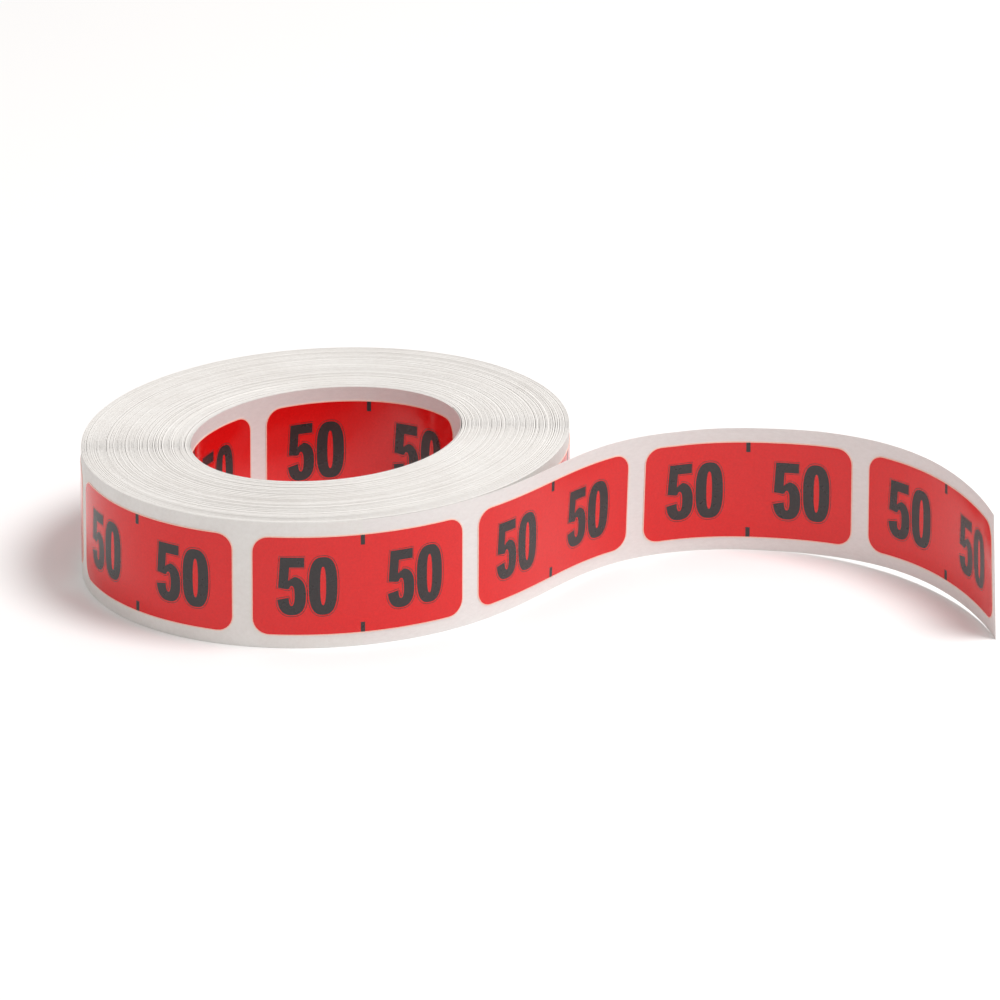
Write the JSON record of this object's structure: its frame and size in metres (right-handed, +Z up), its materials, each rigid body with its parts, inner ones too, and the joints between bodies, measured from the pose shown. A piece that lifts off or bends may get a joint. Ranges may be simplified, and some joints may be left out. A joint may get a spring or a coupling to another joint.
{
  "type": "label roll",
  "caption": "Coreless roll of red self-adhesive numbered labels on a white liner strip, lying flat, with its outer end unrolled as a bendable tail.",
  "frame": {"origin": "centre of the base of the bounding box, on the surface the roll lies on", "axes": "+X along the unrolled tail, away from the roll; +Z up, along the roll's axis and across the strip's width; +Y to the side of the roll that the tail bends away from"},
  "size_m": [0.1568, 0.0816, 0.023],
  "materials": {
    "wound_paper": "matt edges of closely wound paper, off-white",
    "liner_paper": "smooth satin silicone-coated white liner",
    "label_stock": "satin red coated paper with dark grey printed numerals"
  },
  "bodies": {
    "roll": {"wound_turns": "wound_paper", "outer_turn_liner": "liner_paper", "outer_label_1": "label_stock", "outer_label_2": "label_stock", "outer_label_3": "label_stock", "outer_label_4": "label_stock", "outer_label_5": "label_stock", "outer_label_6": "label_stock", "outer_label_7": "label_stock", "inner_turn_liner": "liner_paper", "inner_label_1": "label_stock", "inner_label_2": "label_stock", "inner_label_3": "label_stock", "inner_label_4": "label_stock"},
    "tail_segment_1": {"tail_liner_1": "liner_paper", "tail_label_1": "label_stock"},
    "tail_segment_2": {"tail_liner_2": "liner_paper", "tail_label_2": "label_stock"},
    "tail_segment_3": {"tail_liner_3": "liner_paper", "tail_label_3": "label_stock"}
  },
  "joints": [
    {"name": "tail_bend_1", "type": "hinge", "parent": "roll", "child": "tail_segment_1", "pos_m": [-0.01151, -0.02907, 0], "axis": [0, 0, 1], "range_deg": [-30, 0], "stiffness_Nm_per_rad": 0.0005},
    {"name": "tail_bend_2", "type": "hinge", "parent": "tail_segment_1", "child": "tail_segment_2", "pos_m": [0.01643, 0.00103, 0], "axis": [0, 0, 1], "range_deg": [-25, 25], "stiffness_Nm_per_rad": 0.0005},
    {"name": "tail_bend_3", "type": "hinge", "parent": "tail_segment_2", "child": "tail_segment_3", "pos_m": [0.05566, -0.00102, 0], "axis": [0, 0, 1], "range_deg": [-25, 25], "stiffness_Nm_per_rad": 0.0005}
  ]
}
